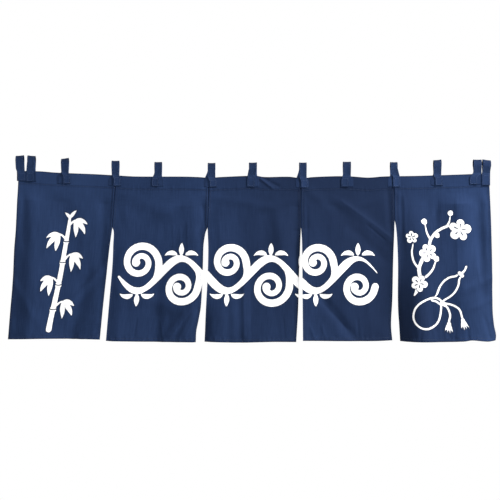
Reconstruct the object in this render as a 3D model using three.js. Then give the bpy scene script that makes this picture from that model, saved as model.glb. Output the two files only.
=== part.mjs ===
// A noren, the short split curtain of a shop door: five cloth widths side by side, hung by thirteen loops.
// Millimetres. +X is to the viewer's right, +Y is away from the viewer and +Z is up.
// The origin is the centre of the rod space inside the middle loop. No rod is part of the curtain.

import * as THREE from 'three';

// The cloth and its hems
const CLOTH_THICKNESS = 1.2;
const HEM_THICKNESS = 2.2;
const HEADER_HEM = 48;
const BOTTOM_HEM = 13;
const SIDE_HEM = 9;
const HEM_STEP = 1.2;
const GAP = 0.3;

// The loops and the space that they leave for a rod
const ROD_SPACE_RADIUS = 14;
const STRIP_THICKNESS = 1.8;
const MEETING_HEIGHT = 3;
const LEG_STRAIGHT_BELOW = 14;
const LEG_ROWS = [24, LEG_STRAIGHT_BELOW, 8, 3];
const LAYER = STRIP_THICKNESS + GAP;

// The front leg lies partly on the back one and leans, so that its outer edge nears the header.
const LEAN_REACH = 0.8;

// Both strips of a loop lie on the header's front face, the back strip next to it.
const HEADER_FACE = LAYER / 2 + STRIP_THICKNESS / 2 + GAP;

// Along a seam both edges turn back, which leaves a groove in front.
const SEAM_GROOVE_WIDTH = 4;
const SEAM_GROOVE_DEPTH = 3;
const GROOVE_RUN_OUT = 50;

// The cloth hangs stiff and flat at the header and loosens below it, folds sooner than its wave. A fold
// fades past its ends over SOFT_END times its width.
const SLACK_STARTS = 8;
const SLACK_FULL = 150;
const FOLDS_LOOSEN = 4;
const SOFT_END = 3;

// How finely the cloth is divided between its hems, above and below the start of its slits
const UPPER_ROWS = 5;
const LOWER_ROWS = 12;
const BODY_COLUMNS = 12;
const ARC_STEPS = 10;

const NAVY = { color: 0x24375a, roughness: 0.92, metalness: 0 };

// The header's top edge, which bows down between its ends and dips beside some seams
const HEADER_EDGE = [
  { x: -844, z: -14 },
  { x: -765, z: -15.5 },
  { x: -708, z: -20 },
  { x: -564, z: -26 },
  { x: -478, z: -31 },
  { x: -420, z: -34 },
  { x: -248, z: -34.5 },
  { x: -190, z: -36.5 },
  { x: -151, z: -39.5 },
  { x: -125, z: -36.5 },
  { x: 11, z: -31.5 },
  { x: 40, z: -36 },
  { x: 130, z: -35 },
  { x: 177, z: -40.5 },
  { x: 212, z: -36.5 },
  { x: 299, z: -33 },
  { x: 356, z: -34 },
  { x: 414, z: -38 },
  { x: 471, z: -34 },
  { x: 586, z: -32 },
  { x: 701, z: -28.5 },
  { x: 852, z: -23 },
];

// The four seams, from the header's top edge down to where each slit starts
const SEAMS = [
  { topX: -493.3, slitX: -505, slitZ: -219 },
  { topX: -158, slitX: -163, slitZ: -219 },
  { topX: 171.4, slitX: 173, slitZ: -219 },
  { topX: 505.6, slitX: 510, slitZ: -194 },
];
const SEAM_TOP = -34;

// The curtain's two outer edges, from top to bottom
const OUTER_LEFT = [
  { z: -14, x: -841 },
  { z: -83, x: -845 },
  { z: -219, x: -852 },
  { z: -298, x: -859 },
  { z: -406, x: -864 },
  { z: -514, x: -873 },
  { z: -620, x: -881.5 },
];
const OUTER_RIGHT = [
  { z: -23, x: 849 },
  { z: -83, x: 851 },
  { z: -190, x: 855 },
  { z: -334, x: 858.5 },
  { z: -514, x: 860.5 },
  { z: -568, x: 866 },
  { z: -604, x: 874 },
  { z: -625, x: 872 },
];

// Each width: its edges below the slits (a seam or an outer edge gives the rest), its lower edge, the
// wave that it hangs in, its folds and its curled edges. A fold is a soft trough (depth above 0, away from
// the viewer) or ridge (below 0) along a line from top to foot, and width is its half width. A curl bends
// the cloth beside an edge.
const PANELS = [
  {
    name: 'panel_1',
    left: OUTER_LEFT,
    right: [
      { z: -298, x: -515.7 },
      { z: -406, x: -527.6 },
      { z: -514, x: -539.5 },
      { z: -620, x: -550 },
    ],
    hem: [
      { x: -881, z: -619.6 },
      { x: -751, z: -617.8 },
      { x: -593, z: -619.2 },
      { x: -550, z: -620.3 },
    ],
    wave: { crests: 1.3, start: 0.15, depth: 5 },
    folds: [
      { topX: -850, topZ: -78, footX: -857, footZ: -215, width: 22, depth: -6.5 },
      { topX: -822, topZ: -105, footX: -818, footZ: -262, width: 13, depth: 2.5 },
      { topX: -797, topZ: -120, footX: -808, footZ: -560, width: 32, depth: -8.5 },
      { topX: -690, topZ: -140, footX: -700, footZ: -560, width: 42, depth: 4.5 },
      { topX: -536, topZ: -120, footX: -544, footZ: -330, width: 20, depth: 6 },
      { topX: -556, topZ: -382, footX: -652, footZ: -488, width: 15, depth: -7 },
      { topX: -606, topZ: -440, footX: -650, footZ: -590, width: 26, depth: 8 },
    ],
    curls: [
      { side: 'left', topZ: -40, footZ: -110, reach: 16, depth: 4 },
      { side: 'right', topZ: -420, footZ: -620, reach: 30, depth: 6 },
    ],
  },
  {
    name: 'panel_2',
    left: [
      { z: -232, x: -500 },
      { z: -280, x: -501.5 },
      { z: -352, x: -504.5 },
      { z: -496, x: -517 },
      { z: -625, x: -528 },
    ],
    right: [
      { z: -236, x: -170 },
      { z: -280, x: -177 },
      { z: -352, x: -179.3 },
      { z: -496, x: -186 },
      { z: -550, x: -195 },
      { z: -590, x: -203 },
      { z: -628, x: -205 },
    ],
    hem: [
      { x: -528, z: -624.3 },
      { x: -506, z: -626.1 },
      { x: -370, z: -628.6 },
      { x: -219, z: -630.4 },
      { x: -205, z: -629.7 },
    ],
    wave: { crests: 1, start: 0.5, depth: 5 },
    folds: [
      { topX: -352, topZ: -420, footX: -346, footZ: -620, width: 32, depth: 8 },
      { topX: -226, topZ: -496, footX: -312, footZ: -620, width: 15, depth: -7 },
      { topX: -205, topZ: -500, footX: -262, footZ: -620, width: 12, depth: -5 },
      { topX: -470, topZ: -300, footX: -488, footZ: -600, width: 30, depth: -5 },
      { topX: -182, topZ: -120, footX: -186, footZ: -300, width: 20, depth: 4.5 },
      { topX: -316, topZ: -162, footX: -190, footZ: -104, width: 22, depth: -5 },
      { topX: -400, topZ: -470, footX: -300, footZ: -500, width: 26, depth: -4 },
    ],
    curls: [
      { side: 'right', topZ: -470, footZ: -600, reach: 34, depth: 8 },
    ],
  },
  {
    name: 'panel_3',
    left: [
      { z: -298, x: -160.4 },
      { z: -406, x: -163.5 },
      { z: -514, x: -169.3 },
      { z: -629, x: -174.5 },
    ],
    right: [
      { z: -298, x: 169.6 },
      { z: -406, x: 165.3 },
      { z: -514, x: 162.8 },
      { z: -629, x: 156 },
    ],
    hem: [
      { x: -175, z: -628.6 },
      { x: -46, z: -631.5 },
      { x: 69, z: -628.9 },
      { x: 156, z: -629.4 },
    ],
    wave: { crests: 1.4, start: 0.45, depth: 4.5 },
    folds: [
      { topX: -30, topZ: -400, footX: -26, footZ: -610, width: 20, depth: -5 },
      { topX: 60, topZ: -260, footX: 84, footZ: -600, width: 40, depth: 5 },
      { topX: 160, topZ: -130, footX: 156, footZ: -300, width: 20, depth: 5 },
      { topX: -104, topZ: -330, footX: -112, footZ: -580, width: 26, depth: -4 },
    ],
    curls: [
      { side: 'left', topZ: -450, footZ: -600, reach: 40, depth: 22 },
    ],
  },
  {
    name: 'panel_4',
    left: [
      { z: -262, x: 176 },
      { z: -334, x: 177.2 },
      { z: -478, x: 178.3 },
      { z: -625, x: 179.3 },
    ],
    right: [
      { z: -334, x: 504.6 },
      { z: -478, x: 501.4 },
      { z: -568, x: 497.5 },
      { z: -625, x: 502 },
    ],
    hem: [
      { x: 180, z: -624.6 },
      { x: 299, z: -625.7 },
      { x: 442, z: -625.7 },
      { x: 502, z: -623.2 },
    ],
    wave: { crests: 1.2, start: 0, depth: 4.5 },
    folds: [
      { topX: 300, topZ: -112, footX: 478, footZ: -250, width: 17, depth: -3 },
      { topX: 270, topZ: -130, footX: 440, footZ: -300, width: 20, depth: 3.5 },
      { topX: 184, topZ: -370, footX: 182, footZ: -625, width: 52, depth: -11 },
      { topX: 256, topZ: -480, footX: 340, footZ: -585, width: 18, depth: 7 },
      { topX: 412, topZ: -380, footX: 424, footZ: -600, width: 34, depth: -3 },
      { topX: 430, topZ: -118, footX: 505, footZ: -90, width: 16, depth: -3.5 },
    ],
    curls: [
      { side: 'right', topZ: -440, footZ: -600, reach: 36, depth: 8 },
    ],
  },
  {
    name: 'panel_5',
    left: [
      { z: -212, x: 514 },
      { z: -262, x: 518.3 },
      { z: -334, x: 521 },
      { z: -442, x: 521.6 },
      { z: -514, x: 524 },
      { z: -568, x: 528 },
      { z: -625, x: 531.5 },
    ],
    right: OUTER_RIGHT,
    hem: [
      { x: 531, z: -627 },
      { x: 557, z: -628.6 },
      { x: 672, z: -629.3 },
      { x: 759, z: -627.2 },
      { x: 787, z: -623.4 },
      { x: 845, z: -627.5 },
      { x: 873, z: -623.2 },
    ],
    wave: { crests: 1.3, start: 0.25, depth: 5 },
    folds: [
      { topX: 664, topZ: -100, footX: 660, footZ: -190, width: 12, depth: 3.5 },
      { topX: 636, topZ: -90, footX: 640, footZ: -210, width: 34, depth: 4 },
      { topX: 745, topZ: -110, footX: 752, footZ: -440, width: 42, depth: -8.5 },
      { topX: 808, topZ: -100, footX: 812, footZ: -300, width: 26, depth: 5 },
      { topX: 818, topZ: -280, footX: 826, footZ: -440, width: 18, depth: 6 },
      { topX: 620, topZ: -390, footX: 632, footZ: -620, width: 30, depth: -6 },
      { topX: 590, topZ: -380, footX: 596, footZ: -625, width: 34, depth: -9 },
      { topX: 692, topZ: -545, footX: 696, footZ: -625, width: 44, depth: 6 },
      { topX: 530, topZ: -120, footX: 536, footZ: -280, width: 20, depth: 5 },
      { topX: 790, topZ: -430, footX: 858, footZ: -400, width: 16, depth: -4 },
      { topX: 692, topZ: -560, footX: 690, footZ: -620, width: 150, depth: -13 },
      { topX: 832, topZ: -90, footX: 834, footZ: -200, width: 14, depth: -3.5 },
    ],
    curls: [
      { side: 'left', topZ: -360, footZ: -560, reach: 78, depth: 34 },
      { side: 'right', topZ: -540, footZ: -615, reach: 44, depth: 9 },
    ],
  },
];

// Each loop: the middle, top and width of its strip over the rod, and how far the top's right end stands
// above its left one
const LOOPS = [
  { x: -837, top: 41, width: 29, slant: 2.5 },
  { x: -795, top: 40.5, width: 28.5, slant: -2.5 },
  { x: -675, top: 31, width: 27, slant: 4 },
  { x: -493.5, top: 22.5, width: 27.5, slant: 0 },
  { x: -340, top: 18, width: 27, slant: 0 },
  { x: -148.5, top: 14.5, width: 27.5, slant: 0 },
  { x: 0, top: 16, width: 29, slant: 1 },
  { x: 179.5, top: 16, width: 27, slant: 0 },
  { x: 337.5, top: 19, width: 28.5, slant: 0 },
  { x: 506, top: 17.5, width: 26, slant: 0 },
  { x: 662.5, top: 25.5, width: 28, slant: 2.5 },
  { x: 806, top: 26.5, width: 29.5, slant: 0 },
  { x: 839.5, top: 25.5, width: 29, slant: -4 },
];

// The two legs of each loop: the side to which the front strip goes (-1 is left), the height at which they
// end, the outer edge of the left and the right leg, and how far above the header each begins to part from
// the loop
const LEGS = [
  { over: 1, end: -50, left: -848, leftParts: 38, right: -816, rightParts: 12 },
  { over: -1, end: -52.5, left: -815, leftParts: 46, right: -779, rightParts: 6 },
  { over: 1, end: -60.5, left: -704, leftParts: 5, right: -655, rightParts: 3 },
  { over: 1, end: -68.5, left: -519, leftParts: 3, right: -473.5, rightParts: 3 },
  { over: -1, end: -70, left: -364, leftParts: 16, right: -321.5, rightParts: 3 },
  { over: 1, end: -71.5, left: -175.5, leftParts: 32, right: -128.5, rightParts: 3 },
  { over: -1, end: -72, left: -21, leftParts: 34, right: 22, rightParts: 5 },
  { over: 1, end: -74.5, left: 154, leftParts: 36, right: 200, rightParts: 6 },
  { over: -1, end: -72, left: 316.5, leftParts: 8, right: 360.5, rightParts: 4 },
  { over: 1, end: -72, left: 485.5, leftParts: 6, right: 529.5, rightParts: 36 },
  { over: 1, end: -66.5, left: 640, leftParts: 8, right: 683, rightParts: 3 },
  { over: -1, end: -63, left: 778.5, leftParts: 6, right: 822.5, rightParts: 48 },
  { over: 1, end: -66.5, left: 823.5, leftParts: 48, right: 851.5, rightParts: 38 },
];

const ease = (t) => THREE.MathUtils.smoothstep(t, 0, 1);

// A smooth curve through a table's rows: the column `to` as a function of the column `from`
function curveThrough(rows, from, to) {
  const sorted = [...rows].sort((a, b) => a[from] - b[from]);
  const at = sorted.map((row) => row[from]);
  const value = sorted.map((row) => row[to]);
  const last = at.length - 1;
  const slope = at.map((_, i) => {
    const before = Math.max(i - 1, 0);
    const after = Math.min(i + 1, last);
    return (value[after] - value[before]) / (at[after] - at[before]);
  });
  return (t) => {
    if (t <= at[0]) {
      return value[0] + slope[0] * (t - at[0]);
    }
    if (t >= at[last]) {
      return value[last] + slope[last] * (t - at[last]);
    }
    const i = at.findIndex((a) => a > t) - 1;
    const span = at[i + 1] - at[i];
    const s = (t - at[i]) / span;
    const rise = s * s * (3 - 2 * s);
    const lead = s * (1 - s) * (1 - s);
    const trail = s * s * (s - 1);
    return value[i] + (value[i + 1] - value[i]) * rise + span * (slope[i] * lead + slope[i + 1] * trail);
  };
}

const headerEdge = curveThrough(HEADER_EDGE, 'x', 'z');

// The side edge of a width that follows a seam down to its slit and then its own rows
function slitEdge(seam, side, rows) {
  const shift = side * GAP / 2;
  const below = curveThrough([{ z: seam.slitZ, x: seam.slitX }, ...rows], 'z', 'x');
  const lean = (seam.slitX - seam.topX) / (seam.slitZ - SEAM_TOP);
  return (z) => shift + (z > seam.slitZ ? seam.topX + lean * (z - SEAM_TOP) : below(z));
}

// How far a fold moves the cloth at x, z. It fades slowly past the ends of its line.
function foldDepth(fold, x, z) {
  const run = new THREE.Vector2(fold.footX - fold.topX, fold.footZ - fold.topZ);
  const length = run.length();
  run.divideScalar(length);
  const from = new THREE.Vector2(x - fold.topX, z - fold.topZ);
  const along = from.dot(run);
  const across = from.cross(run);
  const beyond = Math.max(-along, along - length, 0) / SOFT_END;
  return fold.depth * Math.exp(-(across * across + beyond * beyond) / (fold.width * fold.width));
}

function curlDepth(curl, fromLeft, fromRight, z) {
  const distance = curl.side === 'left' ? fromLeft : fromRight;
  const bend = Math.max(1 - distance / curl.reach, 0);
  return curl.depth * bend * bend * ease((curl.topZ - z) / (curl.topZ - curl.footZ));
}

function grooveDepth(seam, distance, z) {
  const bend = Math.max(1 - distance / SEAM_GROOVE_WIDTH, 0);
  return SEAM_GROOVE_DEPTH * bend * bend * ease(1 - (seam.slitZ - z) / GROOVE_RUN_OUT);
}

// The front face of one width as a function of the share across it and the height
function clothFace(panel, number) {
  const seamLeft = SEAMS[number - 1];
  const seamRight = SEAMS[number];
  const left = seamLeft ? slitEdge(seamLeft, 1, panel.left) : curveThrough(panel.left, 'z', 'x');
  const right = seamRight ? slitEdge(seamRight, -1, panel.right) : curveThrough(panel.right, 'z', 'x');
  const pointAt = (share, z) => {
    const fromLeft = share * (right(z) - left(z));
    const fromRight = (1 - share) * (right(z) - left(z));
    const x = left(z) + fromLeft;
    const slack = ease((headerEdge(x) - HEADER_HEM - SLACK_STARTS - z) / SLACK_FULL);
    const turn = 2 * Math.PI * (panel.wave.crests * share + panel.wave.start);
    let depth = panel.wave.depth * slack * Math.cos(turn);
    for (const fold of panel.folds) {
      depth += foldDepth(fold, x, z) * Math.min(1, FOLDS_LOOSEN * slack);
    }
    for (const curl of panel.curls) {
      depth += curlDepth(curl, fromLeft, fromRight, z);
    }
    if (seamLeft) {
      depth += grooveDepth(seamLeft, fromLeft, z);
    }
    if (seamRight) {
      depth += grooveDepth(seamRight, fromRight, z);
    }
    return new THREE.Vector3(x, HEADER_FACE + depth, z);
  };
  return { left, right, pointAt };
}

// The direction from the front face to the back one. On a side edge it has no sideways part, so that
// neighbours stay GAP apart.
function inward(pointAt, share, z, onEdge) {
  const step = 0.004;
  const across = pointAt(share + step, z).sub(pointAt(share - step, z));
  const down = pointAt(share, z - 1).sub(pointAt(share, z + 1));
  const normal = across.cross(down);
  if (onEdge) {
    normal.x = 0;
  }
  return normal.normalize();
}

// Both hems and the cloth between them: each row's height at x, and whether the row lies in a hem. One row
// runs from the start of the left slit to that of the right one.
function clothRows(lowerEdge, slitLine) {
  const underHeader = (x) => headerEdge(x) - HEADER_HEM - HEM_STEP;
  const overFoot = (x) => lowerEdge(x) + BOTTOM_HEM + HEM_STEP;
  const hemRow = (edge, distance) => ({ hem: true, height: (x) => edge(x) + distance });
  const bodyRow = (from, to, share) => ({ hem: false, height: (x) => from(x) + (to(x) - from(x)) * share });
  const rows = [0, 0.5, 1].map((share) => hemRow(headerEdge, -HEADER_HEM * share));
  for (let i = 0; i < UPPER_ROWS; i += 1) {
    rows.push(bodyRow(underHeader, slitLine, i / UPPER_ROWS));
  }
  for (let i = 0; i <= LOWER_ROWS; i += 1) {
    rows.push(bodyRow(slitLine, overFoot, i / LOWER_ROWS));
  }
  rows.push(hemRow(lowerEdge, BOTTOM_HEM), hemRow(lowerEdge, 0));
  return rows;
}

// The columns across a width, as shares of it, and whether each lies in a side hem
function clothColumns(width) {
  const hemColumns = [0, SEAM_GROOVE_WIDTH, SIDE_HEM];
  const beside = hemColumns.map((distance) => ({ hem: true, share: distance / width }));
  const first = (SIDE_HEM + HEM_STEP) / width;
  const middle = Array.from({ length: BODY_COLUMNS + 1 }, (_, i) => ({
    hem: false,
    share: first + (1 - 2 * first) * i / BODY_COLUMNS,
  }));
  const mirrored = beside.map(({ hem, share }) => ({ hem, share: 1 - share })).reverse();
  return [...beside, ...middle, ...mirrored];
}

// One closed body between a front and a back grid of points, with its faces pointing out. As seen from in
// front, the rows run down and the columns to the right, or the rows up and the columns to the left.
function closedSheet(front, back) {
  const rows = front.length;
  const columns = front[0].length;
  const vertex = (side, row, column) => (side * rows + row) * columns + column;
  const faces = [];
  const quad = (a, b, c, d) => faces.push(a, b, c, a, c, d);
  for (let r = 0; r < rows - 1; r += 1) {
    for (let c = 0; c < columns - 1; c += 1) {
      quad(vertex(0, r, c), vertex(0, r + 1, c), vertex(0, r + 1, c + 1), vertex(0, r, c + 1));
      quad(vertex(1, r, c), vertex(1, r, c + 1), vertex(1, r + 1, c + 1), vertex(1, r + 1, c));
    }
  }
  const rim = [];
  for (let r = 0; r < rows - 1; r += 1) {
    rim.push([r, 0]);
  }
  for (let c = 0; c < columns - 1; c += 1) {
    rim.push([rows - 1, c]);
  }
  for (let r = rows - 1; r > 0; r -= 1) {
    rim.push([r, columns - 1]);
  }
  for (let c = columns - 1; c > 0; c -= 1) {
    rim.push([0, c]);
  }
  rim.forEach(([r, c], i) => {
    const [nextR, nextC] = rim[(i + 1) % rim.length];
    quad(vertex(0, nextR, nextC), vertex(0, r, c), vertex(1, r, c), vertex(1, nextR, nextC));
  });
  const points = [...front.flat(), ...back.flat()];
  const geometry = new THREE.BufferGeometry().setFromPoints(points);
  geometry.setIndex(faces);
  geometry.computeVertexNormals();
  return geometry;
}

function makePanel(panel, number) {
  const { left, right, pointAt } = clothFace(panel, number);
  const lowerEdge = curveThrough(panel.hem, 'x', 'z');
  const middleZ = SEAM_TOP - HEADER_HEM;
  const columns = clothColumns(right(middleZ) - left(middleZ));
  const slits = [SEAMS[number - 1] ?? SEAMS[number], SEAMS[number] ?? SEAMS[number - 1]];
  const slitFall = (slits[1].slitZ - slits[0].slitZ) / (right(middleZ) - left(middleZ));
  const slitLine = (x) => slits[0].slitZ + slitFall * (x - left(middleZ));
  const front = [];
  const back = [];
  for (const row of clothRows(lowerEdge, slitLine)) {
    const frontRow = [];
    const backRow = [];
    columns.forEach(({ hem, share }, c) => {
      let z = middleZ;
      for (let pass = 0; pass < 4; pass += 1) {
        z = row.height(left(z) * (1 - share) + right(z) * share);
      }
      const onEdge = c === 0 || c === columns.length - 1;
      const thickness = row.hem || hem ? HEM_THICKNESS : CLOTH_THICKNESS;
      const point = pointAt(share, z);
      const normal = inward(pointAt, share, z, onEdge);
      frontRow.push(point);
      backRow.push(point.clone().addScaledVector(normal, thickness));
    });
    front.push(frontRow);
    back.push(backRow);
  }
  return closedSheet(front, back);
}

// The middle line of a loop's strip in the Y-Z plane: up the front leg, round the rod space and down the
// back leg. side is -1 on the way up, 0 round the rod and 1 on the way down.
function stripPath(loop, legs, header) {
  const centreZ = loop.top - ROD_SPACE_RADIUS - STRIP_THICKNESS;
  const radius = ROD_SPACE_RADIUS + STRIP_THICKNESS / 2;
  const meetingZ = header + MEETING_HEIGHT;
  const legZ = [legs.end, ...LEG_ROWS.map((below) => header - below), meetingZ];
  const toMeeting = Math.hypot(LAYER / 2, meetingZ - centreZ);
  const swing = Math.acos(radius / toMeeting);
  const under = Math.atan2(meetingZ - centreZ, LAYER / 2);
  const backAngle = under + swing;
  const frontAngle = Math.PI - backAngle;
  const arc = Array.from({ length: ARC_STEPS + 1 }, (_, i) => {
    const angle = frontAngle + (backAngle - frontAngle) * i / ARC_STEPS;
    return { y: radius * Math.cos(angle), z: centreZ + radius * Math.sin(angle) };
  });
  const rise = [1 / 3, 2 / 3].map((share) => ({
    y: -LAYER / 2 * (1 - share) + arc[0].y * share,
    z: meetingZ * (1 - share) + arc[0].z * share,
  }));
  const front = [...legZ.map((z) => ({ y: -LAYER / 2, z })), ...rise];
  const back = front.map(({ y, z }) => ({ y: -y, z })).reverse();
  const marked = (points, side) => points.map((point) => ({ ...point, side }));
  return [...marked(front, -1), ...marked(arc, 0), ...marked(back, 1)];
}

// A loop's strip is straight over the rod. Below, each leg swings sideways to its own place, and the front
// leg comes nearer to the header as it leaves the back one.
function makeLoop(loop, legs) {
  const header = headerEdge(loop.x);
  const path = stripPath(loop, legs, header);
  const half = loop.width / 2;
  const targets = new Map([
    [-1, { x: legs.left + half, parts: legs.leftParts }],
    [0, { x: loop.x, parts: 0 }],
    [1, { x: legs.right - half, parts: legs.rightParts }],
  ]);
  const middleX = (side, z) => {
    const leg = targets.get(side === 0 ? 0 : -side * legs.over);
    const share = ease((header + leg.parts - z) / (leg.parts + LEG_STRAIGHT_BELOW));
    return loop.x + (leg.x - loop.x) * share;
  };
  const outer = [];
  const inner = [];
  path.forEach(({ y, z, side }, i) => {
    const before = path[Math.max(i - 1, 0)];
    const after = path[Math.min(i + 1, path.length - 1)];
    const out = new THREE.Vector3(0, before.z - after.z, after.y - before.y).normalize();
    const parted = Math.abs(middleX(-1, z) - middleX(1, z)) / loop.width;
    const lean = side < 0 ? LAYER * Math.min(1, 2 * parted) : 0;
    const risen = ease((z - header) / (loop.top - header));
    const ends = [1, -1].map((end) => {
      const overOther = end === -legs.over ? 1 : 0;
      const x = middleX(side, z) + end * half;
      const leanedY = y + lean * (LEAN_REACH * parted - overOther);
      return new THREE.Vector3(x, leanedY, z + end * loop.slant / 2 * risen);
    });
    outer.push(ends.map((point) => point.clone().addScaledVector(out, STRIP_THICKNESS / 2)));
    inner.push(ends.map((point) => point.clone().addScaledVector(out, -STRIP_THICKNESS / 2)));
  });
  return closedSheet(outer, inner);
}

function addMesh(parent, name, geometry) {
  const mesh = new THREE.Mesh(geometry, new THREE.MeshStandardMaterial(NAVY));
  mesh.name = name;
  parent.add(mesh);
}

const group = new THREE.Group();
PANELS.forEach((panel, i) => addMesh(group, panel.name, makePanel(panel, i)));
LOOPS.forEach((loop, i) => addMesh(group, `loop_${i + 1}`, makeLoop(loop, LEGS[i])));

export default group;
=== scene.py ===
"""A noren: five widths of navy cotton sewn side by side, hung by thirteen folded loops.

The tables hold millimetres, and meshes are made in metres. +X is to the viewer's right, +Y away from the
viewer and +Z up. The origin is the centre of the rod space inside the middle loop.
"""
import math
from types import SimpleNamespace

import bpy
import numpy as np
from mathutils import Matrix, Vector


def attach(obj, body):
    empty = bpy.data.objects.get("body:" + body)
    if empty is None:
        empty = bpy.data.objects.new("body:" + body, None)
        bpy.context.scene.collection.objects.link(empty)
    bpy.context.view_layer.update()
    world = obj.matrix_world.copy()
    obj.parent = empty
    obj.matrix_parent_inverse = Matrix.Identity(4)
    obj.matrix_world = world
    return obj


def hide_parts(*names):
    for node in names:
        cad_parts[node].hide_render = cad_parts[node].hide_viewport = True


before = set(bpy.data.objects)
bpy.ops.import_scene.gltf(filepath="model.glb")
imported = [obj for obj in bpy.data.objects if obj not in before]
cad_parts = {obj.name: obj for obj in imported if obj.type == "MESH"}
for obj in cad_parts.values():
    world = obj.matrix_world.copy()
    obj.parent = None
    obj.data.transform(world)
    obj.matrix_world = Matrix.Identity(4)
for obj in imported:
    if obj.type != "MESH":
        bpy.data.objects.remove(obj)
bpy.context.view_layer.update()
MM = 0.001

# The cloth and its hems, as the solids have them, and the real thickness that shows here
GAP = 0.3
HEADER_HEM = 48
BOTTOM_HEM = 13
SIDE_HEM = 9
HEM_STEP = 1.2
CLOTH_THICKNESS = 0.9
HEM_THICKNESS = 1.9
FOLDED_EDGE = 1.0
EDGE_LEFT_OPEN = 0.3

# The loops and the space that they leave for a rod
ROD_SPACE_RADIUS = 14
STRIP_THICKNESS = 1.8
MEETING_HEIGHT = 3
LEG_STRAIGHT_BELOW = 14
LAYER = STRIP_THICKNESS + GAP
LEAN_REACH = 0.8
HEADER_FACE = LAYER / 2 + STRIP_THICKNESS / 2 + GAP

# Along a seam both edges turn back, which leaves a groove in front.
SEAM_TOP = -34
SEAM_GROOVE_WIDTH = 4
SEAM_GROOVE_DEPTH = 3
GROOVE_RUN_OUT = 50

# The two edges of a seam lie at one depth, which draws the cloth beside them, and part where the slit starts.
SEAM_DRAWS = 40
SEAM_FREES = 12

# The cloth hangs stiff and flat at the header and loosens below it.
SLACK_STARTS = 8
SLACK_FULL = 150
FOLDS_LOOSEN = 4
SOFT_END = 3
LIMP_AT_HEADER = 0.25

# The broad and the fine unevenness of the cloth: depth, and width and height of a patch
UNEVENNESS = ((2.0, 52, 130), (0.5, 19, 60))

# How finely the cloth is woven into a mesh, and the width of one loom width before it is hung
CLOTH_PITCH = 2.8
LOOM_WIDTH = 340
LOOM_LENGTH = 600


def table(columns, *rows):
    """Rows with named columns."""
    return [SimpleNamespace(**dict(zip(columns.split(), row))) for row in rows]


HEADER_EDGE = table(
    "x z",
    (-844, -14), (-765, -15.5), (-708, -20), (-564, -26), (-478, -31), (-420, -34), (-248, -34.5),
    (-190, -36.5), (-151, -39.5), (-125, -36.5), (11, -31.5), (40, -36), (130, -35), (177, -40.5),
    (212, -36.5), (299, -33), (356, -34), (414, -38), (471, -34), (586, -32), (701, -28.5),
    (852, -23),
)
SEAMS = table(
    "top_x slit_x slit_z",
    (-493.3, -505, -219), (-158, -163, -219), (171.4, 173, -219), (505.6, 510, -194),
)
OUTER_LEFT = table(
    "z x",
    (-14, -841), (-83, -845), (-219, -852), (-298, -859), (-406, -864), (-514, -873), (-620, -881.5),
)
OUTER_RIGHT = table(
    "z x",
    (-23, 849), (-83, 851), (-190, 855), (-334, 858.5), (-514, 860.5), (-568, 866), (-604, 874),
    (-625, 872),
)

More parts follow.
